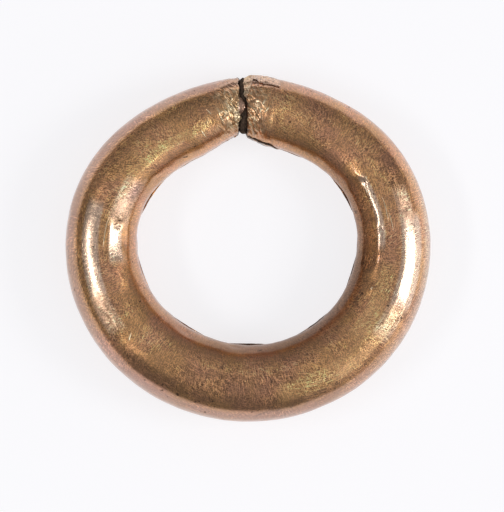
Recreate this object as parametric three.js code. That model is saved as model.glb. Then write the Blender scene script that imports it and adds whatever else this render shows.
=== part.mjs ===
// Penannular earring: a solid rod bent round into a hoop whose two ends almost meet.
// A sheet of gold foil is wrapped round the rod and lapped along the inside of the hoop. A foil cup closes
// each end of the rod under the sheet, and a small tongue of foil is laid over the outside of one end.
// Millimetres, +Z up. The hoop lies flat on z = 0 with its gap towards +Y and is centred on the Z axis.
// One end is on the right of the gap (+X) and the other on the left (-X), seen from above.
import * as THREE from "three";

// Outline of the hoop, seen from above, measured on the outside of the foil
const hoopHalfWidth = 10.0;
const hoopHalfLength = 9.45;

// Thickness of the rod in plan, foil and lap included, before the dents and the thinning of its ends
const rodAtLeftArm = 3.93;
const rodAtRightArm = 4.03;
const rodAtFoot = 4.28;
const rodAtGap = 3.72;

// The eye is the opening inside the hoop: an ellipse that leaves the rod these thicknesses
const eyeHalfWidth = hoopHalfWidth - (rodAtLeftArm + rodAtRightArm) / 2;
const eyeHalfLength = hoopHalfLength - (rodAtFoot + rodAtGap) / 2;
const eyeShiftX = (rodAtLeftArm - rodAtRightArm) / 2;
const eyeShiftY = (rodAtFoot - rodAtGap) / 2;

// Places where the hand-bent outline leaves its two ellipses. Each dent is a smooth swell centred on an
// angle (degrees from +X towards +Y) that fades out over a span on either side of it.
const leftShoulder = { angle: 118, span: 46, outer: -0.22, eye: -0.2 };
const rightShoulder = { angle: 62, span: 30, outer: -0.12, eye: -0.06 };
const rightArm = { angle: 32, span: 48, outer: 0.08, eye: 0.11 };
const rightFoot = { angle: 295, span: 60, outer: 0.04, eye: 0.14 };
const leftFoot = { angle: 205, span: 60, outer: -0.06, eye: -0.06 };

// Thinning of the rod towards its ends, on the side of the eye
const leftTaper = { depth: 0.8, span: 26, power: 1.3 };
const rightTaper = { depth: 0.42, span: 10, power: 1.3 };

// Height of the rod, as a share of its width in plan, and how it changes round the hoop
const heightShare = 0.99;
const heightSwingShare = 0.06; // fuller on the left arm, flatter on the right arm
const endRise = 0.3; // the ends are clear of the ground by this much
const endRiseSpan = 26; // degrees from the gap over which they rise

// The gap between the two end faces
const gapWidth = 0.35;
const gapShift = -0.175; // middle of the gap, along X

// Foil and the fit of one layer on the next
const foilThickness = 0.1;
const layerClearance = 0.03;
const rodEndArris = 0.12; // rounding of the rod's end, which the cup follows
const cupSkirt = 0.85; // length of the cup along the rod
const skirtRamp = 0.3; // length over which the rod fills out again past the cup
const bareCupRim = 0.08; // how much of the cup shows past the edge of the sheet

// The tongue of foil over the right end. Its two edges are angles round the rod, row by row from gap to tip.
const tongueClearance = 0.12; // how far short of the left end it stops
const tongueLength = 1.5; // how far it runs back along the rod
const tongueUpperAngles = [72, 62, 40, 30, 16];
const tongueLowerAngles = [-38, -38, -36, -28, -8];

// Facets
const sectionSides = 24;
const lapSides = 2; // facets of overlap at the seam
const bodyStations = 46;
const arrisSteps = 2;
const tongueColumns = 7;

const degree = Math.PI / 180;
const gapAngle = 90;
const fullTurn = 360;
const sideAngle = fullTurn / sectionSides;
const halfSide = sideAngle / 2;
const seamAngle = fullTurn / 2 - halfSide; // the lip of the seam, just above the middle of the inside

// Offsets from the outside of the sheet, which the outline gives, to the outside of the other layers
const layerStep = foilThickness + layerClearance;
const cupOffset = -layerStep;
const rodOffset = -layerStep;
const rodOffsetInCup = -2 * layerStep;
const lapOffset = layerStep;
const tongueOffset = layerStep;

const goldFoil = new THREE.MeshStandardMaterial({ color: 0xe0b080, roughness: 0.3, metalness: 1 });
const cupFoil = new THREE.MeshStandardMaterial({ color: 0xb98f62, roughness: 0.45, metalness: 1 });
const darkCopper = new THREE.MeshStandardMaterial({ color: 0x46332a, roughness: 0.7, metalness: 0.6 });

// The short way round from one direction to another, in degrees
function turnFrom(centre, angle) {
  const turn = (angle - centre) * degree;
  return Math.atan2(Math.sin(turn), Math.cos(turn)) / degree;
}

// Shape of a swell: 1 at its centre, 0 at its span and beyond
function swell(angle, centre, span) {
  const away = Math.abs(turnFrom(centre, angle)) / span;
  return away < 1 ? (1 + Math.cos(Math.PI * away)) / 2 : 0;
}

// Distance from the Z axis to an ellipse whose centre is shifted, along a direction
function ellipseReach(angle, halfX, halfY, shiftX, shiftY) {
  const c = Math.cos(angle * degree);
  const s = Math.sin(angle * degree);
  const a = (c / halfX) ** 2 + (s / halfY) ** 2;
  const b = -2 * ((c * shiftX) / halfX ** 2 + (s * shiftY) / halfY ** 2);
  const d = (shiftX / halfX) ** 2 + (shiftY / halfY) ** 2 - 1;
  return (-b + Math.sqrt(b * b - 4 * a * d)) / (2 * a);
}

const dents = [leftShoulder, rightShoulder, rightArm, rightFoot, leftFoot];

function outerReach(angle) {
  return dents.reduce(
    (reach, dent) => reach + dent.outer * swell(angle, dent.angle, dent.span),
    ellipseReach(angle, hoopHalfWidth, hoopHalfLength, 0, 0),
  );
}

function eyeReach(angle) {
  const plain = dents.reduce(
    (reach, dent) => reach + dent.eye * swell(angle, dent.angle, dent.span),
    ellipseReach(angle, eyeHalfWidth, eyeHalfLength, eyeShiftX, eyeShiftY),
  );
  const turn = turnFrom(gapAngle, angle);
  const taper = turn > 0 ? leftTaper : rightTaper;
  const away = Math.min(Math.abs(turn) / taper.span, 1);
  return plain + taper.depth * (1 - away) ** taper.power;
}

// One section of the wrapped rod, on a line across it from the eye to the outside
function sectionBetween(eyeAngle, outerAngle) {
  const eye = new THREE.Vector2(Math.cos(eyeAngle * degree), Math.sin(eyeAngle * degree));
  eye.multiplyScalar(eyeReach(eyeAngle) + lapOffset);
  const outer = new THREE.Vector2(Math.cos(outerAngle * degree), Math.sin(outerAngle * degree));
  outer.multiplyScalar(outerReach(outerAngle));
  const middle = (eyeAngle + outerAngle) / 2;
  const halfWidth = eye.distanceTo(outer) / 2;
  const share = heightShare - heightSwingShare * Math.cos(middle * degree);
  const halfHeight = halfWidth * share;
  const rise = endRise * swell(middle, gapAngle, endRiseSpan);
  return {
    centre: eye.clone().add(outer).divideScalar(2),
    outward: outer.clone().sub(eye).normalize(),
    halfWidth,
    halfHeight,
    centreZ: halfHeight * Math.cos(halfSide * degree) + rise,
  };
}

// Angles at which a plane x = constant crosses the eye and the outside of the hoop
function planeAngles(x) {
  const crossing = (reach) => {
    let angle = gapAngle;
    for (let pass = 0; pass < 4; pass++) angle = Math.acos(x / reach(angle)) / degree;
    return angle;
  };
  return { eye: crossing(eyeReach), outer: crossing(outerReach) };
}

// Sections from the right end, round the foot of the hoop, to the left end.
// They are close together under the cups and even between them.
const endInset = rodEndArris + cupOffset - rodOffsetInCup; // from an end face back to the first full section
const rightEnd = planeAngles(gapShift + gapWidth / 2 + endInset);
const leftEnd = planeAngles(gapShift - gapWidth / 2 - endInset);
const roundWay = {
  eye: leftEnd.eye - fullTurn - rightEnd.eye,
  outer: leftEnd.outer - fullTurn - rightEnd.outer,
};
const middleReach = (outerReach(gapAngle) + eyeReach(gapAngle)) / 2;
const wayLength = (Math.abs(roundWay.eye + roundWay.outer) / 2) * degree * middleReach;
const nearEnd = [0, cupSkirt / 2, cupSkirt, cupSkirt + skirtRamp].map((run) => run / wayLength);
const evenShares = Array.from({ length: bodyStations - 1 }, (_, k) => {
  const from = nearEnd[nearEnd.length - 1];
  return from + ((k + 1) / bodyStations) * (1 - 2 * from);
});
const wayShares = [...nearEnd, ...evenShares, ...nearEnd.map((share) => 1 - share).reverse()];
function sectionAt(share) {
  return sectionBetween(rightEnd.eye + share * roundWay.eye, rightEnd.outer + share * roundWay.outer);
}

const sections = wayShares.map(sectionAt);
const skirtRow = 2; // the section at the skirt's edge, counted from an end
const lastRow = sections.length - 1;
const rightRows = Array.from({ length: skirtRow + 1 }, (_, k) => skirtRow - k);
const leftRows = rightRows.map((row) => lastRow - row);

// A point on a layer of the given offset, at an angle round the section: 0 outwards, 90 up, 180 to the eye.
// It may run on from the section along X by a length, and be drawn in by another.
function layerPoint(section, angle, offset, runOn = 0, drawnIn = 0) {
  const c = Math.cos(angle * degree);
  const s = Math.sin(angle * degree);
  const across = (section.halfWidth - drawnIn + offset) * c;
  return new THREE.Vector3(
    section.centre.x + section.outward.x * across + runOn,
    section.centre.y + section.outward.y * across,
    section.centreZ + (section.halfHeight - drawnIn + offset) * s,
  );
}

const ringAngles = Array.from({ length: sectionSides }, (_, j) => halfSide + j * sideAngle);

// The rings of a layer that wraps an end of the rod: along the rod, round the arris and in to the face.
// towardsGap is -1 for the right end and 1 for the left end.
function endRings(rows, offset, towardsGap) {
  const rings = rows.map((row) => ringAngles.map((angle) => layerPoint(sections[row], angle, offset)));
  const last = sections[rows[rows.length - 1]];
  const radius = rodEndArris + offset - rodOffsetInCup;
  for (let step = 1; step <= arrisSteps; step++) {
    const turn = ((step / arrisSteps) * Math.PI) / 2;
    const runOn = towardsGap * radius * Math.sin(turn);
    const drawnIn = radius * (1 - Math.cos(turn));
    rings.push(ringAngles.map((angle) => layerPoint(last, angle, offset, runOn, drawnIn)));
  }
  const middle = new THREE.Vector3(last.centre.x + towardsGap * radius, last.centre.y, last.centreZ);
  return { rings, middle };
}

function bufferFrom(points, triangles, inwards) {
  const position = points.flatMap((p) => [p.x, p.y, p.z]);
  const index = inwards ? triangles.flatMap(([a, b, c]) => [a, c, b]) : triangles.flat();
  const geometry = new THREE.BufferGeometry();
  geometry.setAttribute("position", new THREE.Float32BufferAttribute(position, 3));
  geometry.setIndex(index);
  geometry.computeVertexNormals();
  return geometry;
}

function signedVolume(points, triangles) {
  const cross = new THREE.Vector3();
  return triangles.reduce(
    (sum, [a, b, c]) => sum + points[a].dot(cross.crossVectors(points[b], points[c])) / 6,
    0,
  );
}

function closedGeometry(points, triangles) {
  return bufferFrom(points, triangles, signedVolume(points, triangles) < 0);
}

// A body made of closed rings, with a point at the middle of each end
function ringsGeometry(startMiddle, rings, endMiddle) {
  const count = rings[0].length;
  const points = [...rings.flat(), startMiddle, endMiddle];
  const start = points.length - 2;
  const end = points.length - 1;
  const triangles = [];
  rings.slice(1).forEach((_, i) => {
    for (let j = 0; j < count; j++) {
      const a = i * count + j;
      const b = i * count + ((j + 1) % count);
      triangles.push([a, b, b + count], [a, b + count, a + count]);
    }
  });
  const lastRing = (rings.length - 1) * count;
  for (let j = 0; j < count; j++) {
    const next = (j + 1) % count;
    triangles.push([start, next, j], [end, lastRing + j, lastRing + next]);
  }
  return closedGeometry(points, triangles);
}

// A thin sheet given by two grids of points, one for each face, closed along its four edges
function sheetGeometry(outside, inside) {
  const rows = outside.length;
  const columns = outside[0].length;
  const points = [...outside.flat(), ...inside.flat()];
  const back = rows * columns;
  const triangles = [];
  const quad = (a, b, c, d) => triangles.push([a, b, c], [a, c, d]);
  for (let i = 0; i < rows - 1; i++) {
    for (let j = 0; j < columns - 1; j++) {
      const a = i * columns + j;
      quad(a, a + 1, a + columns + 1, a + columns);
      quad(back + a, back + a + columns, back + a + columns + 1, back + a + 1);
    }
  }
  const edge = [];
  for (let j = 0; j < columns - 1; j++) edge.push(j);
  for (let i = 0; i < rows - 1; i++) edge.push(i * columns + columns - 1);
  for (let j = columns - 1; j > 0; j--) edge.push((rows - 1) * columns + j);
  for (let i = rows - 1; i > 0; i--) edge.push(i * columns);
  edge.forEach((a, k) => {
    const b = edge[(k + 1) % edge.length];
    quad(a, back + a, back + b, b);
  });
  return closedGeometry(points, triangles);
}

// The bent rod. It is drawn down at both ends to take the cups, and its arrises are rounded over.
function rodGeometry() {
  const right = endRings(rightRows, rodOffsetInCup, -1);
  const left = endRings(leftRows, rodOffsetInCup, 1);
  const between = sections
    .slice(skirtRow + 1, lastRow - skirtRow)
    .map((section) => ringAngles.map((angle) => layerPoint(section, angle, rodOffset)));
  return ringsGeometry(right.middle, [...right.rings.reverse(), ...between, ...left.rings], left.middle);
}

// A foil cup over one end of the rod
function cupGeometry(rows, towardsGap) {
  const outside = endRings(rows, cupOffset, towardsGap);
  const inside = endRings(rows, cupOffset - foilThickness, towardsGap);
  return ringsGeometry(outside.middle, [...outside.rings.reverse(), ...inside.rings], inside.middle);
}

// The wrapped sheet. It starts below the seam, goes once round the rod and laps up over its own first edge.
function sheetOverRod() {
  const firstAngle = seamAngle + lapSides * sideAngle;
  const angles = Array.from({ length: sectionSides + lapSides + 1 }, (_, j) => firstAngle - j * sideAngle);
  const endRun = endInset - bareCupRim;
  const layer = (section, offset, runOn) =>
    angles.map((angle, j) => {
      const lapped = j < sectionSides ? offset : offset + lapOffset;
      return layerPoint(section, angle, lapped, runOn);
    });
  const grid = (offset) => [
    layer(sections[0], offset, -endRun),
    ...sections.map((section) => layer(section, offset, 0)),
    layer(sections[lastRow], offset, endRun),
  ];
  return sheetGeometry(grid(0), grid(-foilThickness));
}

// The tongue over the outside of the right end, on top of the sheet
function tongueGeometry() {
  const overGap = { section: sections[0], runOn: tongueClearance - gapWidth - endInset };
  const atFace = { section: sections[0], runOn: -endInset };
  const backRows = tongueUpperAngles.length - 2;
  const alongRod = Array.from({ length: backRows }, (_, k) => {
    const run = ((k + 1) / backRows) * tongueLength;
    return { section: sectionAt(run / wayLength), runOn: 0 };
  });
  const grid = (offset) =>
    [overGap, atFace, ...alongRod].map(({ section, runOn }, row) =>
      Array.from({ length: tongueColumns }, (_, j) => {
        const share = j / (tongueColumns - 1);
        const angle = tongueLowerAngles[row] + share * (tongueUpperAngles[row] - tongueLowerAngles[row]);
        return layerPoint(section, angle, offset, runOn);
      }),
    );
  return sheetGeometry(grid(tongueOffset), grid(tongueOffset - foilThickness));
}

function named(name, geometry, material) {
  const mesh = new THREE.Mesh(geometry, material);
  mesh.name = name;
  return mesh;
}

const earring = new THREE.Group();
earring.add(
  named("core_rod", rodGeometry(), darkCopper),
  named("gold_foil_sheath", sheetOverRod(), goldFoil),
  named("right_end_cup", cupGeometry(rightRows, -1), cupFoil),
  named("left_end_cup", cupGeometry(leftRows, 1), cupFoil),
  named("outer_foil_tongue", tongueGeometry(), goldFoil),
);

// Centre the hoop's outline on the Z axis
const extent = new THREE.Box3().setFromObject(earring);
const middle = extent.getCenter(new THREE.Vector3());
earring.position.set(-middle.x, -middle.y, -extent.min.z);

export default earring;
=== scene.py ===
from math import acos, asin, atan2, cos, degrees, exp, hypot, pi, radians, sin, sqrt, tau
from functools import lru_cache
import bpy
import bmesh
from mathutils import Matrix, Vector, noise


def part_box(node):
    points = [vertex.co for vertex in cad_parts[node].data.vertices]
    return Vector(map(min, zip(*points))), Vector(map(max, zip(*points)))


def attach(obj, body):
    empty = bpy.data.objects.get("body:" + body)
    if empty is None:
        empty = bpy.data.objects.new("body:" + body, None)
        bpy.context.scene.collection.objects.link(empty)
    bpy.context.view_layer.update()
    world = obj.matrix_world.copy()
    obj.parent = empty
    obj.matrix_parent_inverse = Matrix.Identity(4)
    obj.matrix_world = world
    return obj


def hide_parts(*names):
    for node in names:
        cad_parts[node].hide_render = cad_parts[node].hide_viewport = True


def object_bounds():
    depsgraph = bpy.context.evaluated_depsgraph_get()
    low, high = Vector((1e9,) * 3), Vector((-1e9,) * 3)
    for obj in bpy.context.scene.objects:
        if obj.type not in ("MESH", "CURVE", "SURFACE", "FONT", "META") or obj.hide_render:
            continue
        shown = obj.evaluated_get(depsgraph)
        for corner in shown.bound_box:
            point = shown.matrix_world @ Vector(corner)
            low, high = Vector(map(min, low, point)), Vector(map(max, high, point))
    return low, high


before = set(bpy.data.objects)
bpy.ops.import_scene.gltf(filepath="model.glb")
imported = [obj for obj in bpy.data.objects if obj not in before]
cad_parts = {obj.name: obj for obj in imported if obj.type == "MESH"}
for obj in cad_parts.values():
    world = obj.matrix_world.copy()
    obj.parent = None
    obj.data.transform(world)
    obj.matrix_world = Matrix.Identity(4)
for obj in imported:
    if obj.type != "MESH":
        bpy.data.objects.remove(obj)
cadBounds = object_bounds()
mm = 0.001

# The hoop's form, in millimetres and degrees; angles turn from the right arm towards the gap
hoop = {
    "halfWidth": 10.0,
    "halfLength": 9.45,
    "rodAtLeftArm": 3.93,
    "rodAtRightArm": 4.03,
    "rodAtFoot": 4.28,
    "rodAtGap": 3.72,
    # where the hand-bent outline leaves its ellipses: angle, span, shift outside, shift of the eye
    "swells": [
        (118, 46, -0.22, -0.20),
        (62, 30, -0.12, -0.06),
        (32, 48, 0.08, 0.11),
        (295, 60, 0.04, 0.14),
        (205, 60, -0.06, -0.06),
    ],
    "leftTaper": {"depth": 0.8, "span": 26, "power": 1.3},
    "rightTaper": {"depth": 0.42, "span": 10, "power": 1.3},
    "heightShare": 0.99,
    "heightSwingShare": 0.06,
    "endRise": 0.3,
    "endRiseSpan": 26,
    "gapAngle": 90,
    "rightEndX": 0.10,
    "leftEndX": -0.60,
    "planeSteps": 5,
    # length of the rod's middle line, as a share of the outline's
    "middleShare": 0.8,
}


# The direction of an angle, as its parts along X and Y
def unit(angle):
    return cos(radians(angle)), sin(radians(angle))


def turnFrom(centre, angle):
    c, s = unit(angle - centre)
    return degrees(atan2(s, c))


def swell(angle, centre, span):
    away = abs(turnFrom(centre, angle)) / span
    return 0.5 + 0.5 * cos(pi * away) if away < 1 else 0.0


def smooth(low, high, value):
    t = min(max((value - low) / (high - low), 0.0), 1.0)
    return t * t * (3 - 2 * t)


# 1 at no distance, dying away over a span
def bell(away, span):
    return exp(-(away / span) ** 2)


def partWay(first, second, t):
    return first + (second - first) * t


# Smooth noise; a bare number in a call only picks a stretch of it that nothing else uses
def noiseAt(x, y, z):
    return noise.noise(Vector((x, y, z)))


# Noise over the foil: a place along the hoop or X and one round the rod, each by a scale of its own
def noiseOn(along, around, scales, stretch):
    return noiseAt(along * scales[0], around * scales[1], stretch)


def ellipseReach(angle, halfX, halfY, shiftX, shiftY):
    c, s = unit(angle)
    a = (c / halfX) ** 2 + (s / halfY) ** 2
    b = -2 * (c * shiftX / halfX ** 2 + s * shiftY / halfY ** 2)
    d = (shiftX / halfX) ** 2 + (shiftY / halfY) ** 2 - 1
    return (-b + sqrt(b * b - 4 * a * d)) / (2 * a)


def outerReach(angle):
    reach = ellipseReach(angle, hoop["halfWidth"], hoop["halfLength"], 0, 0)
    return reach + sum(out * swell(angle, at, span) for at, span, out, eye in hoop["swells"])


def eyeReach(angle):
    halfX = hoop["halfWidth"] - (hoop["rodAtLeftArm"] + hoop["rodAtRightArm"]) / 2
    halfY = hoop["halfLength"] - (hoop["rodAtFoot"] + hoop["rodAtGap"]) / 2
    shiftX = (hoop["rodAtLeftArm"] - hoop["rodAtRightArm"]) / 2
    shiftY = (hoop["rodAtFoot"] - hoop["rodAtGap"]) / 2
    reach = ellipseReach(angle, halfX, halfY, shiftX, shiftY)
    reach += sum(eye * swell(angle, at, span) for at, span, out, eye in hoop["swells"])
    turn = turnFrom(hoop["gapAngle"], angle)
    taper = hoop["leftTaper"] if turn > 0 else hoop["rightTaper"]
    away = min(abs(turn) / taper["span"], 1)
    return reach + taper["depth"] * (1 - away) ** taper["power"]


# The angle at which a reach from the hoop's middle meets the plane of a given X
def planeAngle(x, reach):
    angle = hoop["gapAngle"]
    for step in range(hoop["planeSteps"]):
        angle = degrees(acos(x / reach(angle)))
    return angle


rightEnd = (planeAngle(hoop["rightEndX"], eyeReach), planeAngle(hoop["rightEndX"], outerReach))
leftEnd = (planeAngle(hoop["leftEndX"], eyeReach) - 360, planeAngle(hoop["leftEndX"], outerReach) - 360)


# A section across the rod, at a share of the way from the right end round the foot to the left end
@lru_cache(maxsize=None)
def sectionAt(share):
    eyeAngle = rightEnd[0] + share * (leftEnd[0] - rightEnd[0])
    outerAngle = rightEnd[1] + share * (leftEnd[1] - rightEnd[1])
    eye = Vector(unit(eyeAngle)) * eyeReach(eyeAngle)
    out = Vector(unit(outerAngle)) * outerReach(outerAngle)
    middle = (eyeAngle + outerAngle) / 2
    halfWidth = (out - eye).length / 2
    halfHeight = halfWidth * (hoop["heightShare"] - hoop["heightSwingShare"] * unit(middle)[0])
    rise = hoop["endRise"] * swell(middle, hoop["gapAngle"], hoop["endRiseSpan"])
    return {
        "centre": (out + eye) / 2,
        "outward": (out - eye).normalized(),
        "halfWidth": halfWidth,
        "halfHeight": halfHeight,
        "centreZ": halfHeight + rise,
        "angle": middle,
    }


# The CAD model is centred on its outline: the hoop's own origin lies off that by this much
outlineSteps = 720
outline = []
for step in range(outlineSteps + 1):
    part = sectionAt(step / outlineSteps)
    outline.append(part["centre"] + part["outward"] * part["halfWidth"])
sheathLow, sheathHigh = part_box("gold_foil_sheath")
outlineX = [p.x for p in outline]
outlineY = [p.y for p in outline]
originX = (sheathLow.x + sheathHigh.x) / 2 / mm - (min(outlineX) + max(outlineX)) / 2
originY = (sheathLow.y + sheathHigh.y) / 2 / mm - (min(outlineY) + max(outlineY)) / 2
print("hoop origin, mm", round(originX, 3), round(originY, 3))

# Unevenness and wear of the foil; a section angle is 0 on the outside, 90 on top and 180 in the eye
wear = {
    "unevenness": 0.030,
    "unevenScale": 0.45,
    "unevenRadius": 2,
    "fineShare": 0.4,
    "fineScale": 3.1,
    "rimLumps": 0.012,
    "rimLumpScale": 6,
    "rimLumpShares": (0.6, 0.9),
    # crinkles beside the gap; a scale has a part along X and a part round the rod
    "crinkleDepth": 0.075,
    "crinkleReach": 1.05,
    "foldScales": (2.0, 3.4),
    "fineFoldScales": (4.6, 7.9),
    "fineFoldShare": 0.8,
    "foldMiddle": 1.2,
    # creases that show in the same place: a ramp holds the two section angles that it runs between
    "creaseReach": 0.85,
    "creaseEnds": 0.1,
    "creaseWander": 0.8,
    "creaseScales": (1.5, 0.06),
    "rightCreases": 0.75,
    "outerCreases": 0.15,
    "creaseOuterRamp": (34, 70),
    "creaseEyeRamp": (20, 56),
    "creaseWorn": 0.3,
    # how far a flat's facing wanders, in degrees, and how many waves that has round the hoop
    "flatWander": 1.6,
    "flatWaves": 7,
    "quickFlatWander": 1.0,
    "quickFlatWaves": 19,
    # flats left by the hammer: hoop angles from and to, fade, section angle faced, share of the half
    # height left, share of the curve kept
    "flats": [
        (-26, 29, 7, 91, 0.945, 0.12),
        (-7, 30.5, 4.5, 129, 0.962, 0.21),
        (-18, 4, 10, 65, 0.984, 0.52),
        (169.5, 183.5, 2, 117, 0.980, 0.20),
        (186, 212, 8, 97, 0.985, 0.30),
        (226, 300, 16, 92, 0.985, 0.40),
        (106, 146, 14, 100, 0.985, 0.40),
    ],
    # spots that wear has burnished: hoop angles from and to, section angles from and to
    "burnished": [(170, 184, 104, 124), (165, 197, 60, 84), (-20, 10, 44, 76), (2, 31, 106, 115)],
    # spots of painted sheen, spots left matt, and spots of painted shade, given in the same way
    "paintedSheen": [(284, 334, 58, 84), (108, 156, 98, 112), (322, 352, 86, 106)],
    "matt": [(150, 168, 100, 135), (198, 211, 58, 84), (-32, -21, 50, 78), (11, 20, 54, 76)],
    "shadedSpots": [
        (243, 290, 62, 100),
        (222, 304, 44, 68),
        (-44, -27, 48, 80),
        (23, 34, 50, 76),
        (154, 166, 104, 130),
    ],
    "spotFadeIn": 1,
    "spotFadeOut": 4,
    "dentEdge": 6,
    # dents and bumps: hoop angle, section angle, size along, size around, depth (a bump is above zero)
    "dents": [
        (31.5, 106, 0.18, 0.16, 0.060),
        (33.2, 112, 0.12, 0.10, 0.045),
        (29.5, 111, 0.14, 0.14, -0.080),
        (27.6, 108, 0.20, 0.12, 0.040),
        (8.7, 110, 0.13, 0.12, -0.070),
        (-17.6, 111, 0.16, 0.16, 0.065),
        (-16.0, 106, 0.14, 0.14, -0.050),
        (-19.4, 108, 0.20, 0.12, 0.045),
        (-1.0, 99, 0.26, 0.16, 0.025),
        (-4.5, 96, 0.22, 0.18, -0.022),
        (15.0, 66, 0.30, 0.26, -0.045),
        (24.0, 112, 0.16, 0.10, 0.018),
        (19.5, 109, 0.20, 0.10, -0.016),
        (13.0, 111, 0.18, 0.12, 0.016),
        (0.5, 109, 0.22, 0.14, -0.020),
        (-3.5, 112, 0.16, 0.12, 0.020),
        (-8.0, 108, 0.24, 0.16, -0.022),
        (-22.0, 64, 0.40, 0.24, -0.060),
        (-25.0, 74, 0.30, 0.24, 0.035),
        (-19.0, 73, 0.20, 0.16, -0.030),
        (-30.0, 100, 0.30, 0.26, -0.040),
        (168.0, 117, 0.13, 0.30, -0.050),
        (174.5, 129, 0.55, 0.24, -0.055),
        (169.6, 116, 0.16, 0.28, -0.070),
        (166.2, 119, 0.16, 0.20, 0.055),
        (188.5, 112, 0.28, 0.12, 0.035),
        (192.5, 115, 0.26, 0.10, 0.030),
        (198.0, 70, 0.30, 0.16, -0.030),
        (203.5, 72, 0.34, 0.24, 0.035),
        (206.5, 68, 0.18, 0.16, -0.035),
        (208.5, 77, 0.22, 0.18, 0.040),
        (211.5, 73, 0.28, 0.20, 0.045),
        (143.0, 150, 0.50, 0.35, -0.050),
        (262.0, 160, 0.35, 0.25, -0.060),
        (232.0, 150, 0.30, 0.22, -0.050),
        (100.5, 110, 0.20, 0.24, 0.055),
        (98.5, 92, 0.16, 0.22, -0.060),
        (103.0, 96, 0.22, 0.20, 0.050),
        (81.0, 86, 0.22, 0.26, 0.045),
        (78.5, 100, 0.20, 0.22, -0.045),
        (84.5, 104, 0.18, 0.24, 0.050),
    ],
}


# A point of the rod's section once the hammer has been over it: each flat takes off what stands above it
def flattened(part, x, z):
    angle = part["angle"]
    for start, end, fade, facing, left, kept in wear["flats"]:
        reach = (end - start) / 2
        strength = smooth(reach + fade, reach, abs(turnFrom((start + end) / 2, angle)))
        if strength == 0:
            continue
        wander = wear["flatWander"] * unit(angle * wear["flatWaves"] + facing)[1]
        wander += wear["quickFlatWander"] * unit(angle * wear["quickFlatWaves"])[1]
        nx, nz = unit(facing + wander)
        support = hypot(part["halfWidth"] * nx, part["halfHeight"] * nz)
        over = x * nx + z * nz - support * (1 - (1 - left) * strength)
        if over > 0:
            x -= (1 - kept) * over * nx
            z -= (1 - kept) * over * nz
    return x, z


# The slow unevenness of a hand-hammered rod, with small lumps along its two rims
def unevenAt(part, c, s):
    spot = Vector((part["centre"].x + wear["unevenRadius"] * c, part["centre"].y, wear["unevenRadius"] * s))
    spot *= wear["unevenScale"]
    uneven = noise.noise(spot) + wear["fineShare"] * noise.noise(spot * wear["fineScale"])
    lumpy = smooth(*wear["rimLumpShares"], abs(c))
    return wear["unevenness"] * uneven + wear["rimLumps"] * lumpy * noise.noise(spot * wear["rimLumpScale"])


def dentsAt(part, around, c):
    rodAround = radians(1) * part["halfWidth"]
    rodAlong = radians(1) * (part["centre"].length + part["halfWidth"] * c)
    marks = 0.0
    for at, side, sizeAlong, sizeAround, depth in wear["dents"]:
        along = turnFrom(at, part["angle"]) * rodAlong / sizeAlong
        across = turnFrom(side, around) * rodAround / sizeAround
        away = along * along + across * across
        if away < wear["dentEdge"]:
            marks += depth * exp(-away)
    return marks


def crinklesAt(part, c, s, runOn):
    x = part["centre"].x
    fromGap = abs(turnFrom(hoop["gapAngle"], part["angle"])) * radians(1) * part["centre"].length
    crinkled = bell(fromGap, wear["crinkleReach"])
    along, across = wear["foldScales"]
    folds = 1 - 2 * abs(noiseAt(x * along + runOn, c * across + 2, s * across + 7))
    along, across = wear["fineFoldScales"]
    folds += wear["fineFoldShare"] * (1 - 2 * abs(noiseAt(x * along, c * across, s * across + 3)))
    return wear["crinkleDepth"] * crinkled * (folds - wear["foldMiddle"])


# A point of the foil: lift stands it off the rod, runOn takes it past the end, drawnIn turns it inwards
def foilPoint(share, around, lift, runOn=0.0, drawnIn=0.0):
    part = sectionAt(share)
    c, s = unit(around)
    x, z = flattened(part, part["halfWidth"] * c, part["halfHeight"] * s)
    out = lift + unevenAt(part, c, s) + dentsAt(part, around, c) + crinklesAt(part, c, s, runOn) - drawnIn
    flat = part["centre"] + part["outward"] * (x + out * c)
    return Vector((
        (flat.x + runOn + originX) * mm,
        (flat.y + originY) * mm,
        max(part["centreZ"] + z + out * s, 0.0) * mm,
    ))


def addObject(name, data):
    made = bpy.data.objects.new(name, data)
    bpy.context.scene.collection.objects.link(made)
    return made


def linkPiece(name, bm, material, thickness=0):
    mesh = bpy.data.meshes.new(name)
    bm.to_mesh(mesh)
    bm.free()
    piece = addObject(name, mesh)
    for polygon in mesh.polygons:
        polygon.use_smooth = True
    mesh.materials.append(material)
    if thickness:
        wall = piece.modifiers.new("foil thickness", "SOLIDIFY")
        wall.thickness = thickness * mm
        wall.offset = -1
        wall.use_even_offset = False
    return piece


# Turns the faces outwards, as told by the face that lies furthest in one direction
def faceOutwards(bm, direction):
    bmesh.ops.recalc_face_normals(bm, faces=bm.faces)
    outermost = max(bm.faces, key=lambda face: face.calc_center_median().dot(direction))
    if outermost.normal.dot(direction) < 0:
        bmesh.ops.reverse_faces(bm, faces=bm.faces)


# Gives each corner its place on the unrolled sheet
def spreadOut(bm, spread):
    uvLayer = bm.loops.layers.uv.new("UVMap")
    for face in bm.faces:
        for loop in face.loops:
            loop[uvLayer].uv = spread[loop.vert.index]


def fill(tree, socket, value):
    if isinstance(value, bpy.types.NodeSocket):
        tree.links.new(value, socket)
    else:
        socket.default_value = value


def fillAll(tree, node, values):
    for key, value in values.items():
        fill(tree, node.inputs[key], value)


nodeGrid = {"columns": 12, "wide": 200, "tall": 400}


# Nodes are set out in rows, in the order in which they are made
def addNode(tree, kind, **values):
    row, column = divmod(len(tree.nodes), nodeGrid["columns"])
    made = tree.nodes.new(kind)
    made.location = (nodeGrid["wide"] * column, -nodeGrid["tall"] * row)
    for key, value in values.items():
        if hasattr(made, key):
            setattr(made, key, value)
        else:
            fill(tree, made.inputs[key.replace("_", " ")], value)
    return made


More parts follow.
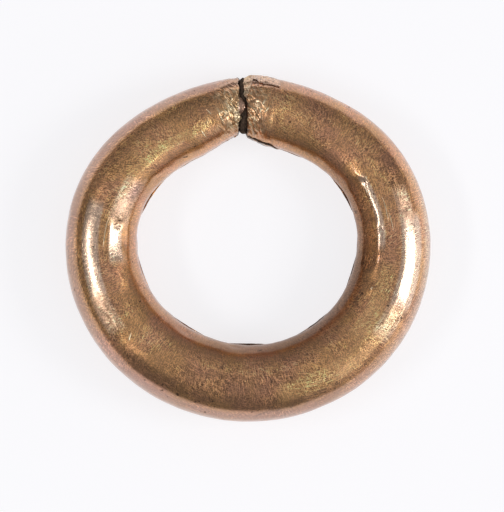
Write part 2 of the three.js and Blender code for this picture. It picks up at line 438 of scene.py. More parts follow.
# A mix node's sockets go by number, because those of its other kinds share their names
def mixColours(tree, factor, first, second, blend="MIX"):
    made = addNode(tree, "ShaderNodeMix", data_type="RGBA", blend_type=blend)
    fillAll(tree, made, {0: factor, 6: first, 7: second})
    return made.outputs[2]


# Colours laid over each other in turn, each by its own share
def layColours(tree, colour, layers):
    for share, shade in layers:
        colour = mixColours(tree, share, colour, shade)
    return colour


def mixNumbers(tree, factor, first, second):
    made = addNode(tree, "ShaderNodeMix", data_type="FLOAT")
    fillAll(tree, made, {0: factor, 2: first, 3: second})
    return made.outputs[0]


def calculate(tree, operation, first, second):
    made = addNode(tree, "ShaderNodeMath", operation=operation)
    fillAll(tree, made, {0: first, 1: second})
    return made.outputs[0]


def rangeOf(tree, value, fromLow, fromHigh, toLow, toHigh):
    made = addNode(tree, "ShaderNodeMapRange", Value=value, From_Min=fromLow, From_Max=fromHigh)
    fillAll(tree, made, {"To Min": toLow, "To Max": toHigh})
    return made.outputs["Result"]


def cloud(tree, source, scale, detail, roughness):
    made = addNode(tree, "ShaderNodeTexNoise", Vector=source, Scale=scale, Detail=detail, Roughness=roughness)
    return made.outputs["Fac"]


def raiseBump(tree, height, distance, strength=1.0, below=None):
    made = addNode(tree, "ShaderNodeBump", Height=height, Distance=distance, Strength=strength)
    if below:
        tree.links.new(below, made.inputs["Normal"])
    return made.outputs["Normal"]


def newMaterial(name):
    material = bpy.data.materials.new(name)
    material.use_nodes = True
    return material, material.node_tree, material.node_tree.nodes["Principled BSDF"]


# A cloud holds its scale, detail and roughness; a ramp holds the two values that it runs between
foilFinish = {
    "gold": (0.635, 0.330, 0.130, 1),
    "rose": (0.60, 0.288, 0.155, 1),
    "brown": (0.43, 0.225, 0.105, 1),
    # plum: a real stain's colour, also used as painted shade on the outer rim
    "plum": (0.30, 0.197, 0.184, 1),
    # painted shade: the dark brown laid on the eye side and over the shaded spots
    "dark": (0.14, 0.085, 0.058, 1),
    # painted highlight: the pale pink laid where the lamps' highlights fall
    "paintedHighlight": (0.85, 0.66, 0.54, 1),
    # painted sheen: the bright gold laid over the sheen spots
    "paintedSheen": (1.0, 0.58, 0.25, 1),
    # soil and painted shade: the near-black in the open seam, in the gap's crinkles, along the tongue and
    # over the cups' ends
    "soilAndShade": (0.028, 0.018, 0.012, 1),
    "patchCloud": (420, 4, 0.6),
    "patchRamp": (0.4, 0.62),
    "shadeCloud": (1500, 5, 0.65),
    "brownRamp": (0.5, 0.75),
    "brownShare": 0.5,
    # fine grain: its hollows are darker, and its tips are painted glints, lit far brighter than the gold
    "grainPatchCloud": (900, 2, 0.5),
    "grainPatchRamp": (0.4, 0.6),
    "grainPatchLeast": 0.55,
    "grainCloud": (13500, 2, 0.5),
    "grainRamp": (0.50, 0.62),
    "hollow": (0.36, 0.33, 0.29, 1),
    "tip": (3.20, 3.05, 2.85, 1),
    "grainBump": 0.0000025,
    "roughRamp": (0.3, 0.75),
    "roughLow": 0.275,
    "roughHigh": 0.34,
    "burnishedRough": 0.16,
    "mattRough": 0.42,
    "mattBump": 0.000012,
    "soilRough": 0.9,
    "speck": (0.09, 0.052, 0.03, 1),
    "speckCloud": (3300, 1, 0.5),
    "speckRamp": (0.735, 0.775),
    "speckShare": 0.9,
    "coat": 1.0,
    "dullCoat": 0.2,
    "mattDulled": 0.85,
    "coatIor": 1.62,
    "coatRough": 0.13,
    "edgeTint": (0.85, 0.74, 0.68, 1),
    "scratchBump": 0.000003,
    "deepBump": 0.00002,
    # creases beside the gap: turn on the sheet, length and width in mm
    "crease": (62, 0.80, 0.28),
    "creaseCloud": (1.0, 1, 0.5),
    "creaseFold": 0.17,
    "creaseBump": 0.00006,
    # painted highlights on the crease ridges
    "ridgeRamp": (0.55, 1.0),
    "ridgeShare": 0.9,
    "ridgeGlint": (1.0, 0.82, 0.52, 1),
    "pressed": (0.62, 0.42, 0.20, 1),
    "pressedShare": 0.6,
    # fine scratches: turn on the sheet, length and width in mm, and the share of noise that they start at
    "scratches": [
        (82, 0.40, 0.050, 0.52),
        (52, 0.34, 0.050, 0.54),
        (12, 0.55, 0.050, 0.54),
        (118, 0.32, 0.050, 0.56),
    ],
    "scratchShare": 0.68,
    "scratchCloud": (1.0, 2, 0.5),
    "scratchFade": 0.12,
    # each direction of scratches has regions of its own, and is weaker outside them
    "regionStep": (0.037, 0.051, 0),
    "regionCloud": (380, 1, 0.5),
    "regionRamp": (0.40, 0.56),
    "regionLeast": 0.25,
    # the share of a single mark's reach that has its full strength
    "markCore": 0.5,
    # the deep scratches' cream colour is a painted glint
    # deep single scratches: hoop angle, section angle, turn on the sheet, length and width in mm
    "scratchGlint": (1.0, 0.80, 0.50, 1),
    "deepScratches": [
        (110.6, 118, 69, 0.80, 0.100),
        (106.0, 84, 60, 0.45, 0.070),
        (217.2, 80, 54, 0.60, 0.095),
        (16.0, 96, 4, 1.50, 0.060),
        (11.0, 92, -2, 1.20, 0.055),
        (173.4, 96, 2, 1.90, 0.060),
        (30.8, 104, 30, 0.26, 0.100),
        (-17.8, 112, 10, 0.24, 0.110),
        (97.6, 88, 80, 0.42, 0.110),
        (99.4, 98, 112, 0.40, 0.110),
        (101.2, 104, 60, 0.44, 0.120),
        (83.6, 76, 116, 0.40, 0.110),
        (82.0, 88, 118, 0.42, 0.110),
        (84.6, 92, 100, 0.28, 0.120),
    ],
    # small dark pits, given in the same way
    "pits": [
        (29.6, 111, 0, 0.13, 0.12),
        (8.7, 110, 0, 0.10, 0.10),
        (7.2, 98, 30, 0.09, 0.08),
        (-16.2, 107, 20, 0.12, 0.08),
        (169.4, 113, 60, 0.34, 0.11),
        (170.0, 121, 118, 0.28, 0.10),
        (167.4, 118, 80, 0.30, 0.09),
        (98.6, 92, 60, 0.16, 0.08),
    ],
}


rodLength = hoop["middleShare"] * sum((b - a).length for a, b in zip(outline, outline[1:]))


# The share of the way round at a hoop angle
def shareAtAngle(angle):
    first = (rightEnd[0] + rightEnd[1]) / 2
    last = (leftEnd[0] + leftEnd[1]) / 2
    return ((first - angle) % 360) / (first - last)


# Where a point of the foil lies on the unrolled sheet, in millimetres
def onSheet(share, around, past=0.0):
    return share * rodLength + past, around * radians(1) * sectionAt(share)["halfWidth"]


# The numbers from 0 to 1 that a foil piece's corners carry, and that its material reads
foilLayers = ("soilAndShade", "stainAndShade", "grain", "paintedShade", "creased", "burnished", "paintedHighlight", "matt", "paintedSheen")


def addLayers(bm, names):
    return {name: bm.verts.layers.float.new(name) for name in names}


def markCorner(vert, layers, marks):
    for name, mark in marks.items():
        vert[layers[name]] = mark


def makeFoil(name, finish):
    material, tree, shader = newMaterial(name)
    place = addNode(tree, "ShaderNodeTexCoord")
    body = place.outputs["Object"]
    marked = {}
    for layer in foilLayers:
        marked[layer] = addNode(tree, "ShaderNodeAttribute", attribute_name=layer).outputs["Fac"]

    def layOut(turn, length, width, start=(0, 0)):
        lay = addNode(tree, "ShaderNodeMapping", vector_type="TEXTURE", Vector=place.outputs["UV"])
        turned = (0, 0, radians(turn))
        fillAll(tree, lay, {"Location": (*start, 0), "Rotation": turned, "Scale": (length, width, 1)})
        return lay.outputs["Vector"]

    # fine scratches that all lie at one turn on the sheet
    def strokes(row, turn, length, width, start):
        lines = cloud(tree, layOut(turn, length, width), *finish["scratchCloud"])
        lines = rangeOf(tree, lines, start, start + finish["scratchFade"], 0, 1)
        shift = [row * step for step in finish["regionStep"]]
        region = addNode(tree, "ShaderNodeMapping", Vector=body, Location=shift)
        region = cloud(tree, region.outputs["Vector"], *finish["regionCloud"])
        region = rangeOf(tree, region, *finish["regionRamp"], finish["regionLeast"], 1)
        return calculate(tree, "MULTIPLY", lines, region)

    def singleMarks(places):
        joined = 0.0
        for hoopAngle, section, turn, length, width in places:
            start = onSheet(shareAtAngle(hoopAngle), section)
            away = addNode(tree, "ShaderNodeVectorMath", operation="LENGTH")
            tree.links.new(layOut(turn, length / 2, width / 2, start), away.inputs[0])
            mark = rangeOf(tree, away.outputs["Value"], finish["markCore"], 1, 1, 0)
            joined = calculate(tree, "MAXIMUM", joined, mark)
        return joined

    # the grain lies in patches, and wear has taken part of it off between them
    patchy = cloud(tree, body, *finish["grainPatchCloud"])
    patchy = rangeOf(tree, patchy, *finish["grainPatchRamp"], finish["grainPatchLeast"], 1)
    grain = calculate(tree, "MULTIPLY", marked["grain"], patchy)

    # deep single scratches, fine scratches in four directions, and a fine grain between them
    deep = singleMarks(finish["deepScratches"])
    scratches = 0.0
    for row, scratch in enumerate(finish["scratches"]):
        scratches = calculate(tree, "MAXIMUM", scratches, strokes(row, *scratch))
    tips = cloud(tree, body, *finish["grainCloud"])
    tips = rangeOf(tree, tips, *finish["grainRamp"], 0, 1)
    fineMarks = mixNumbers(tree, finish["scratchShare"], tips, scratches)

    # colour under the grain: rosy patches and brown, then painted shade, painted sheen and painted
    # highlights, then plum, both a real stain and painted shade on the outer rim
    patches = cloud(tree, body, *finish["patchCloud"])
    patches = rangeOf(tree, patches, *finish["patchRamp"], 0, 1)
    shade = cloud(tree, body, *finish["shadeCloud"])
    brown = rangeOf(tree, shade, *finish["brownRamp"], 0, finish["brownShare"])
    colour = layColours(tree, finish["gold"], [
        (patches, finish["rose"]),
        (brown, finish["brown"]),
        (marked["paintedShade"], finish["dark"]),
        (marked["paintedSheen"], finish["paintedSheen"]),
        (marked["paintedHighlight"], finish["paintedHighlight"]),
        (marked["stainAndShade"], finish["plum"]),
    ])
    # the grain's tips are painted glints, far brighter than the gold around them
    grained = mixColours(tree, fineMarks, finish["hollow"], finish["tip"])
    colour = mixColours(tree, grain, colour, grained, "MULTIPLY")

    # colour over it: specks and pits, pressed foil with painted highlights on its ridges, painted glints on
    # deep scratches, then soil and painted shade
    specks = cloud(tree, body, *finish["speckCloud"])
    specks = rangeOf(tree, specks, *finish["speckRamp"], 0, finish["speckShare"])
    specks = calculate(tree, "MAXIMUM", specks, singleMarks(finish["pits"]))
    fold = cloud(tree, layOut(*finish["crease"]), *finish["creaseCloud"])
    fold = calculate(tree, "PINGPONG", fold, finish["creaseFold"])
    fold = rangeOf(tree, fold, 0, finish["creaseFold"], 0, 1)
    ridgeGlint = rangeOf(tree, fold, *finish["ridgeRamp"], 0, finish["ridgeShare"])
    ridgeGlint = calculate(tree, "MULTIPLY", ridgeGlint, marked["creased"])
    pressed = calculate(tree, "MULTIPLY", marked["creased"], finish["pressedShare"])
    colour = layColours(tree, colour, [
        (specks, finish["speck"]),
        (pressed, finish["pressed"]),
        (ridgeGlint, finish["ridgeGlint"]),
        (deep, finish["scratchGlint"]),
        (marked["soilAndShade"], finish["soilAndShade"]),
    ])
    metal = rangeOf(tree, marked["soilAndShade"], 0, 1, 1, 0)

    # polish: worn smooth, smoothest where it is burnished, duller where it is matt or under soil and painted
    # shade
    rough = rangeOf(tree, shade, *finish["roughRamp"], finish["roughLow"], finish["roughHigh"])
    rough = mixNumbers(tree, marked["burnished"], rough, finish["burnishedRough"])
    rough = mixNumbers(tree, marked["matt"], rough, finish["mattRough"])
    soilRough = rangeOf(tree, marked["soilAndShade"], 0, 1, 0, finish["soilRough"])
    rough = calculate(tree, "MAXIMUM", rough, soilRough)

    # a thin clear layer of polish over the gold, dulled where it is matt, pitted or pressed and under the
    # painted shade
    dulled = calculate(tree, "MULTIPLY", marked["matt"], finish["mattDulled"])
    for share in (marked["paintedShade"], specks, pressed):
        dulled = calculate(tree, "MAXIMUM", dulled, share)
    coat = rangeOf(tree, dulled, 0, 1, finish["coat"], finish["dullCoat"])

    # relief: creases and deep scratches in gold and coat; grain and fine scratches in the gold alone
    relief = raiseBump(tree, fold, finish["creaseBump"], marked["creased"])
    relief = raiseBump(tree, deep, finish["deepBump"], below=relief)
    fine = raiseBump(tree, tips, finish["grainBump"], grain, relief)
    fine = raiseBump(tree, scratches, finish["scratchBump"], grain, fine)
    mattRelief = raiseBump(tree, tips, finish["mattBump"], marked["matt"], relief)
    fillAll(tree, shader, {
        "Base Color": colour,
        "Metallic": metal,
        "Roughness": rough,
        "Normal": fine,
        "Coat Weight": coat,
        "Coat Roughness": finish["coatRough"],
        "Coat IOR": finish["coatIor"],
        "Coat Normal": mattRelief,
        "Specular Tint": finish["edgeTint"],
    })
    return material


def makeCrust(name, finish):
    material, tree, shader = newMaterial(name)
    place = addNode(tree, "ShaderNodeTexCoord")
    lumps = cloud(tree, place.outputs["Object"], *finish["cloud"])
    shares = rangeOf(tree, lumps, *finish["ramp"], 0, 1)
    colour = mixColours(tree, shares, finish["bare"], finish["crust"])
    fillAll(tree, shader, {
        "Base Color": colour,
        "Metallic": finish["metallic"],
        "Roughness": finish["roughness"],
        "Normal": raiseBump(tree, lumps, finish["bump"]),
    })
    return material


coreFinish = {
    "bare": (0.075, 0.045, 0.028, 1),
    "crust": (0.03, 0.022, 0.016, 1),
    "cloud": (2600, 5, 0.6),
    "ramp": (0.35, 0.65),
    "bump": 0.00003,
    "roughness": 0.75,
    "metallic": 0.6,
}
soilFinish = {
    "bare": (0.160, 0.100, 0.065, 1),
    "crust": (0.055, 0.036, 0.024, 1),
    "cloud": (5200, 5, 0.6),
    "ramp": (0.35, 0.65),
    "bump": 0.00003,
    "roughness": 0.95,
    "metallic": 0.0,
}

goldFoil = makeFoil("gold foil", foilFinish)
cupFoil = makeFoil("cup foil", dict(foilFinish, roughLow=0.30, roughHigh=0.55))
coreMetal = makeCrust("core metal", coreFinish)
soilCrust = makeCrust("soil crust", soilFinish)
print("materials ready")

# The foil tongue over the outside of the right end: place along X, upper and lower edge round the rod
tongue = {
    "edges": [
        (-0.20, 62, -38),
        (-0.06, 73, -38),
        (0.10, 58, -38),
        (0.28, 24, -36),
        (0.55, 36, -30),
        (0.85, 38, -18),
        (1.50, 41, 30),
    ],
    # how the two edges wander: degrees, scale of the noise and its stretch
    "upperWander": [(3, 5, 1), (1.5, 13, 5)],
    "lowerWander": [(3, 4, 9)],
    "ragged": 0.08,
    "raggedScale": 0.10,
    "raggedColumns": 10,
    "pressedScales": (4, 0.08),
    "speckScales": (9, 0.3),
    "speckRamp": (0.25, 0.5),
    "speckShare": 0.4,
    # painted shade along the tongue's edges
    "edgeShade": 0.25,
    "edgeReach": 1 / 22,
    "creasedTo": 0.5,
    "creasedShare": 0.7,
    "grainShare": 0.6,
    # painted highlight over the whole tongue
    "paleShare": 0.45,
    "columns": 60,
    "sides": 48,
    "thickness": 0.055,
    "lift": 0.07,
    "pressed": 0.02,
    "bent": 0.36,
    "bentFrom": 0.16,
    # the search for a place along the rod: the share of the way round where it ends, and its steps
    "searchTo": 0.1,
    "halvings": 24,
}


def wandering(parts, x):
    return sum(size * noiseAt(x * scale, stretch, 0) for size, scale, stretch in parts)


def tongueEdge(x):
    edges = tongue["edges"]
    for before, after in zip(edges, edges[1:]):
        if x <= after[0] or after is edges[-1]:
            t = min(max((x - before[0]) / (after[0] - before[0]), 0), 1)
            return partWay(before[1], after[1], t), partWay(before[2], after[2], t)


# The sheath: one sheet of foil rolled round the rod, lapped on the eye side
foil = {
    "stations": 372,
    "sides": 116,
    "topShare": 0.38,
    "topDensityShare": 0.5,
    "thickness": 0.06,
    "seamAngle": 194,
    "seamWander": 22,
    "seamScale": 0.05,
    # beside the gap the seam has parted: hoop angles from and to, fade, and what that does to the lap
    "parted": (71, 97, 7),
    "partedAngle": 160,
    "partedSink": 0.6,
    "partedLift": 0.03,
    "partedReach": 14,
    "lapAngle": 26,
    "lapRamp": 10,
    "lapGap": 0.015,
    "lipLift": 0.02,
    "lipReach": 8,
    "lipScale": 0.16,
    "endRadius": 0.10,
    "endLip": 0.12,
    "endRows": 7,
    "endDensityShare": 0.55,
    "leftDome": 0.27,
    "leftDomeSpan": (92, 62),
    "ragged": 0.20,
    "raggedScale": 0.09,
    "fineRaggedScale": 0.31,
    "fineRaggedShare": 0.6,
    "raggedTurn": 0.05,
}
endArc = foil["endRadius"] * pi / 2

# Soil and painted shade on the sheath; scales have a part along the hoop or X and a part round the rod
grime = {
    "speckScales": (0.55, 0.10),
    "speckRamp": (0.30, 0.45),
    "speckShare": 0.9,
    "eyeAngle": 178,
    "eyeSpan": 5.0,
    "lipReach": 3.0,
    "turnedFrom": 0.25,
    # painted shade in the crinkles beside the gap
    "gapScales": (3.7, 0.11),
    "gapRamp": (0.16, 0.42),
    "gapSpan": 4.5,
    "gapShare": 0.6,
    # painted shadow along the tongue's upper edge, on the sheath
    "besideTongue": (0.2, 1.6),
    "tongueAway": 2,
    "tongueSpan": 2,
    "tongueShare": 0.3,
}

# Colour and polish of the sheath: a ramp holds the section angles that it runs between, counted from the
# outside or the eye, and a span holds a hoop angle and how far its effect reaches
tone = {
    # the plum stain: hoop angle and span, section angle and span
    "plum": (152.5, 5.0, 124, 9.0),
    "plumShare": 0.7,
    # the outer rim, worn smooth, carries painted shade that ends where the side turns under and is clearer on
    # the right arm
    "aboveRamp": (-16, 22),
    "dimRamp": (50, 35),
    "clearSpan": (20, 105),
    "dimShare": 0.62,
    # painted highlight on the right arm's outer rim, over the burnished spots and over the matt spots
    "paleRamp": (42, 20),
    "paleSpan": (-8, 60),
    "paleShare": 0.6,
    "burnishedPale": 0.65,
    "mattPale": 0.4,
    # painted sheen over the sheen spots
    "rubbedShare": 0.42,
    "rimRamp": (56, 44),
    "rimBreaks": [(345, 85, 0.9), (60, 45, 0.7)],
    "rimShare": 0.85,
    "burnishedShare": 0.3,
    # the grain is strongest on top, and worn away towards both edges, most of all inside the foot
    "eyeRamp": (46, 72),
    "outerRamp": (34, 60),
    "outerRampAtFoot": (44, 76),
    "footSpan": (262, 80),
    "underShare": 0.55,
    "worn": 0.45,
    "wornAt": [(268, 75, 0.15), (345, 70, -0.3)],
    "burnishedWorn": 0.4,
    # painted shade along the eye side, strongest inside the hoop's lower right, and over the shaded spots
    "darkRamp": (52, 34),
    "darkSpan": (320, 170),
    "darkShare": 0.95,
    "shadedSpotShare": 0.35,
}


# Whether an angle lies within two others: 0 outside, 1 inside and a fade between
def within(start, end, angle):
    reach = (end - start) / 2
    away = abs(turnFrom((start + end) / 2, angle))
    return smooth(reach + wear["spotFadeOut"], reach - wear["spotFadeIn"], away)


# The same for a point of the foil and the spots of one kind
def spotShare(kind, angle, around):
    return max(within(start, end, angle) * within(low, high, around) for start, end, low, high in wear[kind])


# Where the seam lies at a hoop angle, and how far it has parted there
def seamAt(angle):
    start, end, fade = foil["parted"]
    parted = smooth(start, start + fade, angle % 360) * smooth(end, end - fade, angle % 360)
    seam = foil["seamAngle"] + foil["seamWander"] * noiseAt(angle * foil["seamScale"], 6, 2)
    return partWay(seam, foil["partedAngle"], parted), parted


# The lap climbs over the sheet's first edge and ends in a lip
def lapLift(angle, around, seam, parted):
    lapStart = seam + foil["lapAngle"] - 360
    toLip = around - (seam - 360)
    lift = smooth(lapStart + foil["lapRamp"], lapStart, around) * (foil["thickness"] + foil["lapGap"])
    lift *= 1 - foil["partedSink"] * parted
    lift += foil["partedLift"] * parted * exp(-toLip / foil["partedReach"])
    wavy = noiseAt(angle * foil["lipScale"], 3, 0)
    return lift + foil["lipLift"] * wavy * exp(-toLip / foil["lipReach"])


# Soil in the open seam, dark on the turned-in ends, painted shade in the crinkles beside the gap and a
# painted shadow along the tongue's upper edge
def sheathSoil(part, around, toLip, parted, past, towards):
    x = part["centre"].x
    speck = smooth(*grime["speckRamp"], noiseOn(part["angle"], around, grime["speckScales"], 5))
    soilAndShade = exp(-toLip / grime["lipReach"]) * parted
    eyeSide = bell(turnFrom(grime["eyeAngle"], around), grime["eyeSpan"])
    soilAndShade += eyeSide * max(grime["speckShare"] * speck, parted)
    soilAndShade += smooth(grime["turnedFrom"] * endArc, endArc, past)
    # painted shade in the crinkles beside the gap
    held = smooth(*grime["gapRamp"], noiseOn(x, around, grime["gapScales"], 8))
    soilAndShade += grime["gapShare"] * held * bell(turnFrom(hoop["gapAngle"], part["angle"]), grime["gapSpan"])
    # painted shadow along the tongue's upper edge
    if towards < 0 and grime["besideTongue"][0] < x < grime["besideTongue"][1]:
        fromTongue = turnFrom(tongueEdge(x)[0] + grime["tongueAway"], around)
        soilAndShade += grime["tongueShare"] * bell(fromTongue, grime["tongueSpan"])
    return min(soilAndShade, 1)


# How creased the foil is beside the ends, less so on its outer side and in the eye
def creasedAt(share, part, around, towards):
    if wear["creaseEnds"] <= share <= 1 - wear["creaseEnds"]:
        return 0.0
    x = part["centre"].x
    fromEnd = max(x - hoop["rightEndX"], hoop["leftEndX"] - x, 0)
    fromEnd *= 1 + wear["creaseWander"] * noiseOn(x, around, wear["creaseScales"], 4)
    creased = bell(fromEnd, wear["creaseReach"])
    creased *= 1 if towards > 0 else wear["rightCreases"]
    creased *= partWay(wear["outerCreases"], 1, smooth(*wear["creaseOuterRamp"], abs(turnFrom(0, around))))
    return creased * smooth(*wear["creaseEyeRamp"], abs(turnFrom(180, around)))


# What the sheath's material reads of colour and polish at a point, by the names of its layers
def toneAt(angle, around):
    fromOutside = abs(turnFrom(0, around))
    fromEye = abs(turnFrom(180, around))
    burnished = spotShare("burnished", angle, around)
    matt = spotShare("matt", angle, around)
    plumAngle, plumSpan, plumSide, plumWidth = tone["plum"]
    plum = bell(turnFrom(plumAngle, angle), plumSpan) * bell(turnFrom(plumSide, around), plumWidth)
    above = smooth(*tone["aboveRamp"], turnFrom(0, around))
    # painted shade on the outer rim above the middle line, less of it on the right arm
    dim = smooth(*tone["dimRamp"], fromOutside) * above * (1 - swell(angle, *tone["clearSpan"]))
    # painted highlight on the right arm's outer rim
    paintedHighlight = tone["paleShare"] * smooth(*tone["paleRamp"], fromOutside) * swell(angle, *tone["paleSpan"])
    rim = smooth(*tone["rimRamp"], fromOutside) * above
    for centre, span, share in tone["rimBreaks"]:
        rim *= 1 - share * swell(angle, centre, span)
    atFoot = swell(angle, *tone["footSpan"])
    low, high = (partWay(*pair, atFoot) for pair in zip(tone["outerRamp"], tone["outerRampAtFoot"]))
    onTop = smooth(*tone["eyeRamp"], fromEye) * smooth(low, high, fromOutside)
    if fromOutside < 90:
        onTop = max(onTop, tone["underShare"] * (1 - above))
    worn = tone["worn"] + sum(share * swell(angle, centre, span) for centre, span, share in tone["wornAt"])
    # painted shade along the eye side
    dark = tone["darkShare"] * swell(angle, *tone["darkSpan"]) * smooth(*tone["darkRamp"], fromEye)
    return {
        "stainAndShade": max(tone["plumShare"] * plum, tone["dimShare"] * dim),
        "grain": (1 - (1 - onTop) * worn) * (1 - tone["burnishedWorn"] * burnished),
        "paintedShade": max(dark, tone["shadedSpotShare"] * spotShare("shadedSpots", angle, around)),
        "burnished": max(tone["burnishedShare"] * burnished, tone["rimShare"] * rim),
        "paintedHighlight": max(paintedHighlight, tone["burnishedPale"] * burnished, tone["mattPale"] * matt),
        "matt": matt,
        # painted sheen over the sheen spots
        "paintedSheen": tone["rubbedShare"] * spotShare("paintedSheen", angle, around),
    }


def rollSheath():
    bm = bmesh.new()
    rows = foil["stations"]
    sides = foil["sides"]
    endRows = foil["endRows"]
    bmesh.ops.create_grid(bm, x_segments=rows, y_segments=sides, size=1)
    layers = addLayers(bm, foilLayers)
    spread = {}
    for vert in bm.verts:
        i = round((vert.co.x + 1) / 2 * rows)
        j = round((vert.co.y + 1) / 2 * sides)
        t = min(max((i - endRows) / (rows - 2 * endRows), 0), 1)
        share = min(max(t - foil["endDensityShare"] * sin(tau * t) / tau, 0), 1)
        part = sectionAt(share)
        angle = part["angle"]
        seam, parted = seamAt(angle)
        # the rows lie closer on top, where the creases are
        across = j / sides
        turns = sin(tau * (across - foil["topShare"])) + sin(tau * foil["topShare"])
        across -= foil["topDensityShare"] * turns / tau
        around = seam + foil["lapAngle"] - across * (360 + foil["lapAngle"])
        # past the rod's ends the edge turns in, and it is ragged
        past = max(endRows - i, i - (rows - endRows), 0) / endRows * (endArc + foil["endLip"])
        towards = -1 if i < rows / 2 else 1
        turned = min(past / endArc, 1)
        ragged = noiseAt(around * foil["raggedScale"], towards * 4, 1.5)
        ragged += foil["fineRaggedShare"] * noiseAt(around * foil["fineRaggedScale"], towards * 9, 2.5)
        nearEnd = exp(-min(i, rows - i) / endRows)
        runOn = towards * foil["endRadius"] * sin(turned * pi / 2)
        runOn += towards * foil["ragged"] * ragged * nearEnd
        drawnIn = foil["endRadius"] * (1 - cos(turned * pi / 2)) + max(past - endArc, 0)
        drawnIn += foil["raggedTurn"] * ragged * turned
        dome = foil["leftDome"] if towards > 0 else 0
        domed = dome * swell(around, *foil["leftDomeSpan"]) * nearEnd
        vert.co = foilPoint(share, around, lapLift(angle, around, seam, parted), runOn + domed, drawnIn)
        spread[vert.index] = onSheet(share, around, towards * past + domed)
        marks = toneAt(angle, around)
        marks["soilAndShade"] = sheathSoil(part, around, around - (seam - 360), parted, past, towards)
        marks["creased"] = creasedAt(share, part, around, towards)
        marks["grain"] *= 1 - wear["creaseWorn"] * marks["creased"]
        markCorner(vert, layers, marks)
    spreadOut(bm, spread)
    faceOutwards(bm, Vector((0, 0, 1)))
    return linkPiece("goldFoilSheath", bm, goldFoil, foil["thickness"])


sheath = rollSheath()
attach(sheath, "root")
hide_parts("gold_foil_sheath")
print("sheath rolled")


# The share of the way round at which the middle of the rod has a given place along X, near the right end
@lru_cache(maxsize=None)
def shareAtX(x):
    low, high = 0.0, tongue["searchTo"]
    for step in range(tongue["halvings"]):
        half = (low + high) / 2
        if sectionAt(half)["centre"].x < x:
            low = half
        else:
            high = half
    return low


def layTongue():
    bm = bmesh.new()
    bmesh.ops.create_grid(bm, x_segments=tongue["columns"], y_segments=tongue["sides"], size=1)
    layers = addLayers(bm, ("soilAndShade", "grain", "creased", "paintedHighlight"))
    first = tongue["edges"][0][0]
    last = tongue["edges"][-1][0]
    raggedTo = tongue["raggedColumns"] / tongue["columns"]
    spread = {}
    for vert in bm.verts:
        along = (vert.co.x + 1) / 2
        across = (vert.co.y + 1) / 2
        x = partWay(first, last, along)
        upper, lower = tongueEdge(x)
        upper += wandering(tongue["upperWander"], x)
        lower += wandering(tongue["lowerWander"], x)
        around = partWay(lower, upper, across)
        ragged = tongue["ragged"] * max(1 - along / raggedTo, 0)
        ragged *= noiseAt(around * tongue["raggedScale"], 2, 7)
        runOn = min(x - hoop["rightEndX"], 0) + ragged
        lift = tongue["lift"] + tongue["pressed"] * noiseOn(x, around, tongue["pressedScales"], 3)
        lift -= tongue["bent"] * max(tongue["bentFrom"] - x, 0)
        vert.co = foilPoint(shareAtX(max(x, hoop["rightEndX"])), around, lift, runOn)
        spread[vert.index] = (x, around * radians(1) * sectionAt(0)["halfWidth"])
        speck = smooth(*tongue["speckRamp"], noiseOn(x, around, tongue["speckScales"], 1))
        # painted shade along the tongue's edges
        edge = tongue["edgeShade"] * exp(-min(across, 1 - across) / tongue["edgeReach"])
        markCorner(vert, layers, {
            "soilAndShade": min(edge + tongue["speckShare"] * speck, 1),
            "grain": tongue["grainShare"],
            "creased": tongue["creasedShare"] * smooth(tongue["creasedTo"], 0, x),
            # painted highlight over the whole tongue
            "paintedHighlight": tongue["paleShare"],
        })
    spreadOut(bm, spread)
    faceOutwards(bm, Vector((0, 1, 0)))
    return linkPiece("outerFoilTongue", bm, goldFoil, tongue["thickness"])


tongueSheet = layTongue()
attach(tongueSheet, "root")
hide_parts("outer_foil_tongue")
print("tongue laid")

# The foil cups that close the rod's ends: half a ball pressed over each end, under the sheath
cup = {
    "segments": 96,
    "rings": 80,
    "thickness": 0.05,
    "under": 0.08,
    "skirt": 0.5,
    "skirtShare": 0.25,
    "arris": 0.12,
    "arrisShare": 0.2,
    "dish": 0.12,
    "dishTo": 0.5,
    "crumple": 0.03,
    "crumpleScale": 4,
    # the left cup's rim is folded out on top; a ramp holds shares of the way from arris to middle
    "leftFold": 0.37,
    "foldSpan": (89, 32),
    "foldRamp": (0.35, 0.05),
    "foldLift": 0.14,
    "foldLiftTo": 0.5,
    "cleanRamp": (0.5, 0.2),
    "cleanShare": 0.85,
    # painted highlight on the left cup's folded-out rim
    "paleShare": 0.35,
    "leastSoil": 0.1,
    "soilRamp": (0.02, 0.4),
    # darker in the hollows of the crumples
    "creaseDark": 0.5,
    "creaseBelow": -0.15,
}


